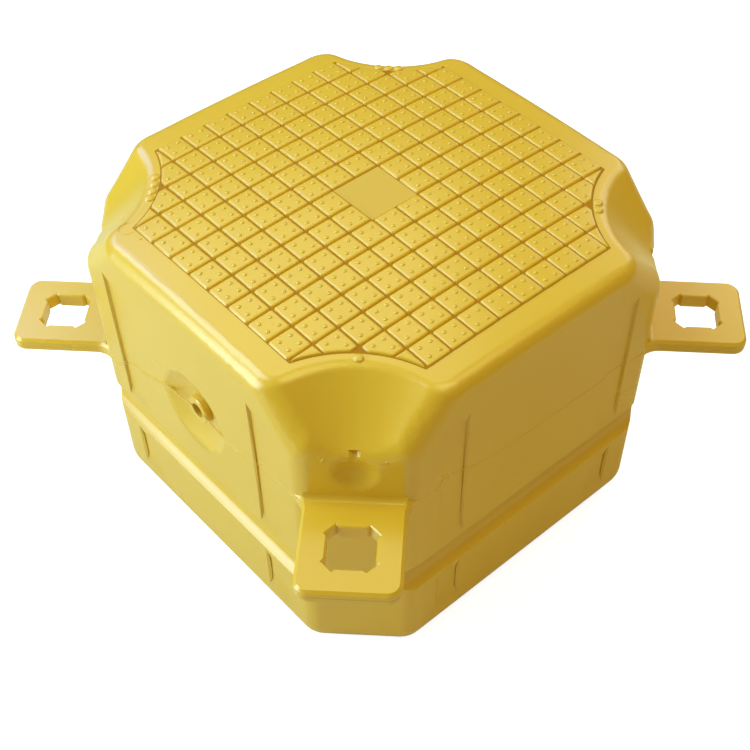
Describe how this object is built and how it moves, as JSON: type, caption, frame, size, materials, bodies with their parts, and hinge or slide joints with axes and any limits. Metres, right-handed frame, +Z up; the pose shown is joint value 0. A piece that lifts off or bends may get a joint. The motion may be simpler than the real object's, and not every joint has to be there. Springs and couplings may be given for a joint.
{
  "type": "pontoon cube",
  "caption": "Yellow blow-moulded pontoon cube with a padded deck, scooped corners and square pin lugs at stepped levels.",
  "frame": {"origin": "middle of the underside", "axes": "+Z up through the deck, -Y out of the side that has the round boss"},
  "size_m": [0.6308, 0.6308, 0.3999],
  "materials": {
    "shell": "satin"
  },
  "bodies": {
    "root": {"float_body": "shell"}
  },
  "joints": []
}
